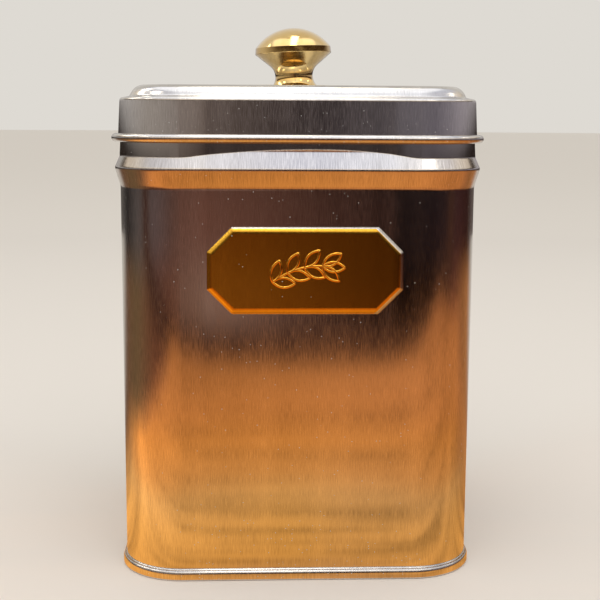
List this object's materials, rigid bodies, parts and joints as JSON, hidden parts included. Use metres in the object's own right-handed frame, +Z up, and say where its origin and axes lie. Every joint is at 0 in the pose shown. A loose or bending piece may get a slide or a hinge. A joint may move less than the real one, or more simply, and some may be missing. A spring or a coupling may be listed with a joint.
{
  "type": "tea tin",
  "caption": "Square brushed-steel tea tin with a press-on lid, a mushroom knob of turned brass and a raised gold panel on the front.",
  "frame": {"origin": "centre of the square footprint, in the plane the tin stands on", "axes": "+Z up through the lid and knob, the front with the raised panel looks along -Y, +X to the right of someone facing the front"},
  "size_m": [0.0962, 0.0962, 0.1439],
  "materials": {
    "brushed_tinplate": "vertically brushed, clear lacquered",
    "polished_brass": "polished",
    "gold_lacquer": "translucent gold lacquer over brushed steel"
  },
  "bodies": {
    "root": {"tin_body": "brushed_tinplate", "tin_base": "brushed_tinplate", "lid": "brushed_tinplate", "knob": "polished_brass"}
  },
  "joints": []
}
